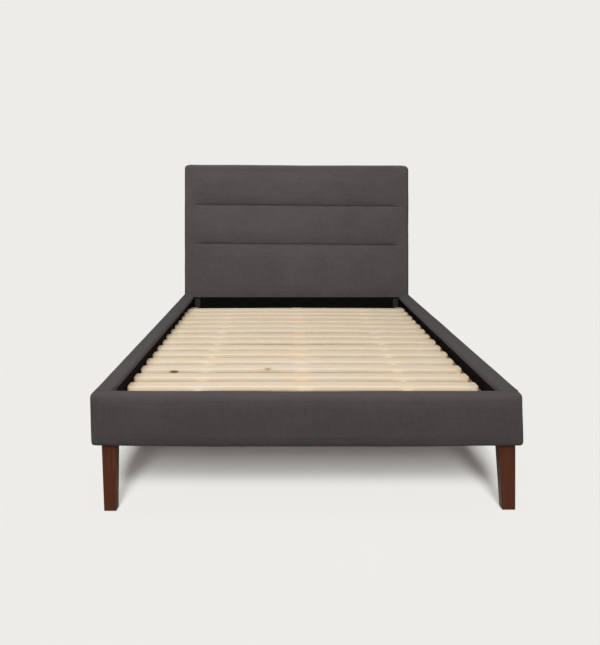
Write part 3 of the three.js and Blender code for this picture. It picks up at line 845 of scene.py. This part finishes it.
def leg(name):
    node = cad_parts[f"leg_{name}"]
    corners = np.array([v.co for v in node.data.vertices])
    rings = []
    for z in (corners[:, 2].min(), corners[:, 2].max()):
        level = corners[np.abs(corners[:, 2] - z) < 1 * MM]
        (x0, y0, _), (x1, y1, _) = level.min(0), level.max(0)
        if name in LEG_STANCE:
            left, right = LEG_STANCE[name][len(rings)]
            x0, x1 = x0 + left * MM, x1 + right * MM
        rings.append(np.array([(x0, y0, z), (x1, y0, z), (x1, y1, z), (x0, y1, z)]))
    points, faces = loft(rings, True)
    faces += [(3, 2, 1, 0), (4, 5, 6, 7)]
    piece = build(f"leg_{name}_walnut", points, faces, walnut)
    face_outwards(piece)
    modify(piece, "BEVEL", width=1.1 * MM, segments=3, limit_method="ANGLE", angle_limit=0.6)
    for polygon in piece.data.polygons:
        polygon.use_smooth = polygon.area < 4e-4
    carry(piece, "root", "walnut_legs", f"leg_{name}")
    return piece


legs = [leg(name) for name in ("front_left", "front_right", "rear_left", "rear_right")]

# ---- Lining, webbing, staples and screws ----
LINING_THICKNESS = 0.9 * MM
STAPLE = (10 * MM, 1.0 * MM, 0.8 * MM)
BACK_STAPLES = 55 * MM  # spacing round the back lining
RAIL_STAPLES = 70 * MM  # spacing under the rails


def lining_sheet(name, node, across, u_range, v_range, place, slack, material=lining,
                 pressed=(0, 0)):
    """A sheet of lining stapled along its edges. across gives the number of cells each way, and
    place turns (u, v, off) into a point. The sheet stands off by about slack in the middle, and
    lies flat where v is in pressed."""
    count_u, count_v = across
    points, faces = [], []
    for j in range(count_v + 1):
        v = v_range[0] + (v_range[1] - v_range[0]) * j / count_v
        for i in range(count_u + 1):
            u = u_range[0] + (u_range[1] - u_range[0]) * i / count_u
            wave = noise.noise(Vector((u * 7.0, v * 16.0, len(name))))
            wave += 0.5 * noise.noise(Vector((u * 23.0, v * 9.0, 4.0)))
            to_edge = min(u - u_range[0], u_range[1] - u, v - v_range[0], v_range[1] - v)
            loose = 0.0 if pressed[0] < v < pressed[1] else float(smooth_step(to_edge, 0.0, 0.05))
            points.append(place(u, v, (0.5 + wave) * slack * loose))
    for j in range(count_v):
        for i in range(count_u):
            a = j * (count_u + 1) + i
            faces.append((a, a + 1, a + count_u + 2, a + count_u + 1))
    piece = build(name, points, faces, material)
    modify(piece, "SOLIDIFY", thickness=LINING_THICKNESS, offset=0.0)
    carry(piece, "root", "black_lining", node)
    return piece


for side, name in ((-1, "left"), (1, "right")):
    low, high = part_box(f"side_rail_liner_{name}")
    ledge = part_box(f"slat_ledge_{name}")
    middle_x = (low.x + high.x) / 2
    lining_sheet(
        f"side_rail_lining_{name}", f"side_rail_liner_{name}", (120, 22), (low.y, high.y),
        (low.z, LIP_LOW + 7 * MM), lambda u, v, off: (middle_x - side * off, u, v), 0.5 * MM,
        pressed=(ledge[0].z - 6 * MM, ledge[1].z + 22 * MM),
    )

low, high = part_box("headboard_liner")
head_y = (low.y + high.y) / 2
inner_lining = lining_sheet(
    "headboard_lining", "headboard_liner", (90, 12), (low.x, high.x),
    (low.z, CLOTH_BOTTOM + 1 * MM), lambda u, v, off: (u, head_y + off * 0.3, v), 0.3 * MM,
)

low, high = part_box("headboard_back_cloth")
back_y = (low.y + high.y) / 2
back_x, back_z = (low.x, high.x), (low.z, high.z)
outer_lining = lining_sheet(
    "headboard_back_lining", "headboard_back_cloth", (96, 66), back_x, back_z,
    lambda u, v, off: (u, back_y - off, v), 1.6 * MM, back_lining,
)


BOX_FACES = ((0, 2, 3, 1), (4, 5, 7, 6), (0, 1, 5, 4), (2, 6, 7, 3), (0, 4, 6, 2), (1, 3, 7, 5))


def small_boxes(name, body, boxes, material, slot):
    """Many small boxes in one piece; each is (centre, size)."""
    points, faces = [], []
    for centre, size in boxes:
        start = len(points)
        for k in range(8):
            points.append([centre[a] + (0.5 if k >> a & 1 else -0.5) * size[a] for a in range(3)])
        for quad in BOX_FACES:
            faces.append(tuple(start + q for q in quad))
    piece = build(name, points, faces, material, smooth=False)
    modify(piece, "BEVEL", width=0.25 * MM, segments=1, limit_method="ANGLE")
    carry(piece, body, slot)


def spaced(start, end, step):
    return np.linspace(start, end, max(2, round((end - start) / step) + 1))


staples = []
back_face = back_y + LINING_THICKNESS / 2
for x in spaced(back_x[0] + 8 * MM, back_x[1] - 8 * MM, BACK_STAPLES):
    for z in (back_z[0] + 6 * MM, back_z[1] - 6 * MM):
        staples.append(((x, back_face, z), (STAPLE[0], STAPLE[2], STAPLE[1])))
for z in spaced(back_z[0] + 40 * MM, back_z[1] - 40 * MM, BACK_STAPLES):
    for x in (back_x[0] + 6 * MM, back_x[1] - 6 * MM):
        staples.append(((x, back_face, z), (STAPLE[1], STAPLE[2], STAPLE[0])))
for side, name in ((-1, "left"), (1, "right")):
    low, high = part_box(f"side_rail_board_{name}")
    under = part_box(f"side_rail_cover_{name}")[0].z
    for y in spaced(low.y + 40 * MM, high.y - 40 * MM, RAIL_STAPLES):
        staples.append((((low.x + high.x) / 2, y, under), (STAPLE[1], STAPLE[0], STAPLE[2])))
low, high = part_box("foot_rail_board")
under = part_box("foot_rail_cover")[0].z - FOOT_SAG
for x in spaced(low.x + 70 * MM, high.x - 70 * MM, RAIL_STAPLES):
    staples.append(((x, (low.y + high.y) / 2, under), STAPLE))
small_boxes("staples", "root", staples, zinc, "zinc_steel")


TAPE_DROP = 1.0 * MM  # from a slat's underside to the middle of the tape
TAPE_SAG = 3.5 * MM  # how far the tape dips between two slats
TAPE_TOUCH = 22 * MM  # it touches a slat this far to each side of the middle


def slat_tape(name):
    """The tape dips between the slats and is stapled to each of them."""
    low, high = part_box(f"slat_tape_{name}")
    middle_x, half_tape = (low.x + high.x) / 2, (high.x - low.x) / 2
    line = []
    pins = []
    for index in range(SLAT_COUNT):
        slat_low, slat_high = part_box(slat_name(index))
        station = (middle_x - (slat_low.x + slat_high.x) / 2) / (slat_high.x - slat_low.x)
        under = slat_low.z + slat_crown(index) * (1 - 4 * station * station) - TAPE_DROP
        centre = (slat_low.y + slat_high.y) / 2
        touching = (centre - TAPE_TOUCH, centre, centre + TAPE_TOUCH)
        if line:
            previous = line[-1]
            line.append(((previous[0] + touching[0]) / 2, (previous[1] + under) / 2 - TAPE_SAG))
        for y in touching:
            line.append((y, under))
        pins.append(((middle_x, centre, under - 0.8 * MM), STAPLE))
    section = [(s * half_tape, h * 0.5 * MM) for s, h in ((-1, 1), (1, 1), (1, -1), (-1, -1))]
    rings = [np.array([(middle_x + across, y, z + up) for across, up in section]) for y, z in line]
    points, faces = loft(rings, True)
    faces += [(3, 2, 1, 0), tuple(len(points) - 4 + k for k in range(4))]
    piece = build(f"slat_webbing_{name}", points, faces, webbing, smooth=False)
    face_outwards(piece)
    carry(piece, "slat_mat", "slat_webbing", f"slat_tape_{name}")
    small_boxes(f"tape_staples_{name}", "slat_mat", pins, zinc, "zinc_steel")


slat_tape("left")
slat_tape("right")


LEDGE_SCREWS = 240 * MM  # spacing along a slat ledge
BRACKET_SCREWS = ((22 * MM, 48 * MM), (184 * MM, 202 * MM))  # along the arm, and heights
CRADLE_SCREWS = (14 * MM, (196 * MM, 210 * MM))  # from the wall, and heights


def screw_head(points, faces, centre, normal, radius):
    """Adds a low dome with a round recess."""
    normal = np.array(normal, float)
    first = np.array([normal[1], normal[2], normal[0]])
    second = np.cross(normal, first)
    start = len(points)
    for ring_radius, height in ((1.0, 0.0), (0.92, 0.25), (0.7, 0.42), (0.3, 0.5), (0.24, 0.2)):
        for k in range(12):
            angle = 2 * math.pi * k / 12
            points.append(np.array(centre) + radius * (
                normal * height + ring_radius * (first * math.cos(angle) + second * math.sin(angle))))
    for ring in range(4):
        for k in range(12):
            a, b = start + ring * 12 + k, start + ring * 12 + (k + 1) % 12
            faces.append((a, b, b + 12, a + 12))
    faces.append(tuple(start + 48 + k for k in range(12)))


def screws():
    points, faces = [], []
    for side, name in ((-1, "left"), (1, "right")):
        low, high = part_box(f"slat_ledge_{name}")
        inner = low.x if side > 0 else high.x
        for y in spaced(low.y + 90 * MM, high.y - 90 * MM, LEDGE_SCREWS):
            screw_head(points, faces, (inner, y, (low.z + high.z) / 2), (-side, 0, 0), 4 * MM)
        for end in ("foot", "head"):
            low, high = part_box(f"corner_bracket_{end}_{name}")
            toward = 1 if end == "foot" else -1
            wall = low.y if end == "foot" else high.y
            arm = high.x - 3 * MM if side > 0 else low.x + 3 * MM
            for along in BRACKET_SCREWS[0]:
                for z in BRACKET_SCREWS[1]:
                    centre = (arm, wall + toward * along, z)
                    screw_head(points, faces, centre, (-side, 0, 0), 3.6 * MM)
    for end in ("foot", "head"):
        low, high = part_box(f"beam_cradle_{end}")
        y = high.y - CRADLE_SCREWS[0] if end == "foot" else low.y + CRADLE_SCREWS[0]
        for z in CRADLE_SCREWS[1]:
            for side in (-1, 1):
                edge = high.x if side > 0 else low.x
                screw_head(points, faces, (edge, y, z), (side, 0, 0), 3.2 * MM)
    piece = build("wood_screws", points, faces, zinc)
    face_outwards(piece)
    carry(piece, "root", "zinc_steel")


screws()


def key_sockets():
    """A hexagonal key socket in the head of each corner bolt."""
    points, faces = [], []
    for corner in ("foot_left", "foot_right", "head_left", "head_right"):
        low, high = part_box(f"corner_bolt_{corner}")
        x, z = (low.x + high.x) / 2, (low.z + high.z) / 2
        y = high.y + 0.05 * MM if "foot" in corner else low.y - 0.05 * MM
        start = len(points)
        for k in range(6):
            angle = math.pi * k / 3
            points.append((x + 3 * MM * math.cos(angle), y, z + 3 * MM * math.sin(angle)))
        faces.append(tuple(start + k for k in range(6)))
    piece = build("key_sockets", points, faces, black_steel, smooth=False)
    modify(piece, "SOLIDIFY", thickness=0.4 * MM, offset=0.0)
    carry(piece, "root", "black_steel")


key_sockets()

# ---- Floor and lights ----
FLOOR = (0.860, 0.852, 0.820)
FLOOR_HALF = 60.0
FLOOR_Z = -0.5 * MM
FLAG_Z = 172 * MM


def level_square(name, x, y, z, material):
    corners = [(x[0], y[0], z), (x[1], y[0], z), (x[1], y[1], z), (x[0], y[1], z)]
    return build(name, corners, [(0, 1, 2, 3)], material, smooth=False)


floor_surface = Surface("pale_floor", Roughness=0.9, Specular_IOR_Level=0.0)
speckle = floor_surface.noise(floor_surface.place, scale=3.0, detail=2.0)
floor_color = floor_surface.ramp(speckle, [(0.3, tone(FLOOR, 0.998)), (0.7, tone(FLOOR, 1.002))])
floor_ends = (-FLOOR_HALF, FLOOR_HALF)
floor = level_square("floor", floor_ends, floor_ends, FLOOR_Z, floor_surface.finish(floor_color))
floor.visible_diffuse = False

# A flag under the slats keeps stripes of light from between them off the floor.
flag_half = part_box("side_rail_liner_right")[0].x - 2 * MM
flag_y = (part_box("foot_rail_liner")[1].y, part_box("headboard_liner")[0].y)
flag = level_square("flag", (-flag_half, flag_half), flag_y, FLAG_Z, lining)
set_all(flag, dict(visible_camera=False, visible_glossy=False, visible_transmission=False))


def collected(name, things, exclude=False):
    """A collection for light linking, of things to light alone or of things to leave out."""
    made = bpy.data.collections.new(name)
    for thing in things:
        made.objects.link(thing)
    for entry in made.collection_objects:
        entry.light_linking.link_state = "EXCLUDE" if exclude else "INCLUDE"
    return made


headboard_parts = [headboard, hem, inner_lining, outer_lining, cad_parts["headboard_frame"]]
only_floor = collected("only_floor", [floor])
only_headboard = collected("only_headboard", [headboard])
only_back = collected("only_back", [headboard, hem, outer_lining, *legs[2:]])
not_floor = collected("not_floor", [floor], exclude=True)
not_flag = collected("not_flag", [flag], exclude=True)
not_legs = collected("not_legs", legs, exclude=True)
not_headboard = collected("not_headboard", headboard_parts, exclude=True)


def light(name, kind, energy, place, aim, group, color=(1, 1, 1), **settings):
    data = bpy.data.lights.new(name, kind)
    made = bpy.data.objects.new(name, set_all(data, dict(energy=energy, color=color, **settings)))
    made.location = place
    made.rotation_euler = (Vector(aim) - Vector(place)).to_track_quat("-Z", "Y").to_euler()
    made.visible_camera = False
    made.light_linking.receiver_collection = group
    if group is not only_floor:
        made.light_linking.blocker_collection = not_flag
    scene.collection.objects.link(made)
    return made


# The shadow on the floor comes from a tall, narrow source, made of suns one above the other, each
# with its elevation in degrees and its strength.
KEY_SUNS = [(18, 2.12), (22, 0.87), (26, 0.46), (30, 1.70), (35, 1.06), (40, 0.24)]
KEY_SWING = math.radians(0.5)
KEY_SPREAD = math.radians(12)
LEGLESS_FROM = 30  # higher suns pass the legs, and lower ones the headboard
KEY_COLOR = (0.984, 1.0, 1.002)
FILL_COLOR = (1.0, 0.785, 0.760)
FILL_STRENGTH = 0.284
for elevation, strength in KEY_SUNS:
    rise = math.radians(elevation)
    level = math.cos(rise)
    sun_from = (-math.sin(KEY_SWING) * level, -math.cos(KEY_SWING) * level, math.sin(rise))
    key = light(f"floor_key_{elevation}", "SUN", strength, sun_from, (0, 0, 0), only_floor,
                KEY_COLOR, angle=KEY_SPREAD)
    key.light_linking.blocker_collection = not_legs if elevation >= LEGLESS_FROM else not_headboard
fill = light("floor_fill", "SUN", FILL_STRENGTH, (0, 0, 1), (0, 0, 0), only_floor, FILL_COLOR,
             angle=math.radians(20))
fill.data.use_shadow = False

# Each softbox: power, place, the point it faces, size and what it lights.
SOFTBOXES = {
    "high": (44, (-0.7, -1.9, 2.7), (-0.2, 0.9, 0.6), (3.0, 1.2), not_floor),
    "front": (129, (0.3, -4.6, 2.2), (0, 0, 0.4), (4.0, 2.2), not_floor),
    "top": (19.5, (-0.5, 0.5, 2.3), (0, 0.5, 0.3), (1.6, 1.6), not_floor),
    "headboard": (6.0, (-0.1, -0.6, 0.75), (0, 0.94, 0.5), (1.6, 0.5), only_headboard),
    "left": (6, (-4.2, 0.4, 1.8), (0, 0, 0.3), (3.5, 2.4), not_floor),
    "right": (6, (4.2, 0.6, 1.8), (0, 0, 0.3), (3.5, 2.4), not_floor),
    "back": (20, (0.6, 4.8, 2.2), (0, 0.6, 0.4), (4.0, 2.4), not_floor),
    "behind": (110, (0.9, 4.6, 2.0), (0, 1.0, 0.5), (3.0, 2.0), only_back),
}
for name, (power, place, aim, size, lit) in SOFTBOXES.items():
    light(f"softbox_{name}", "AREA", power, place, aim, lit,
          shape="RECTANGLE", size=size[0], size_y=size[1])
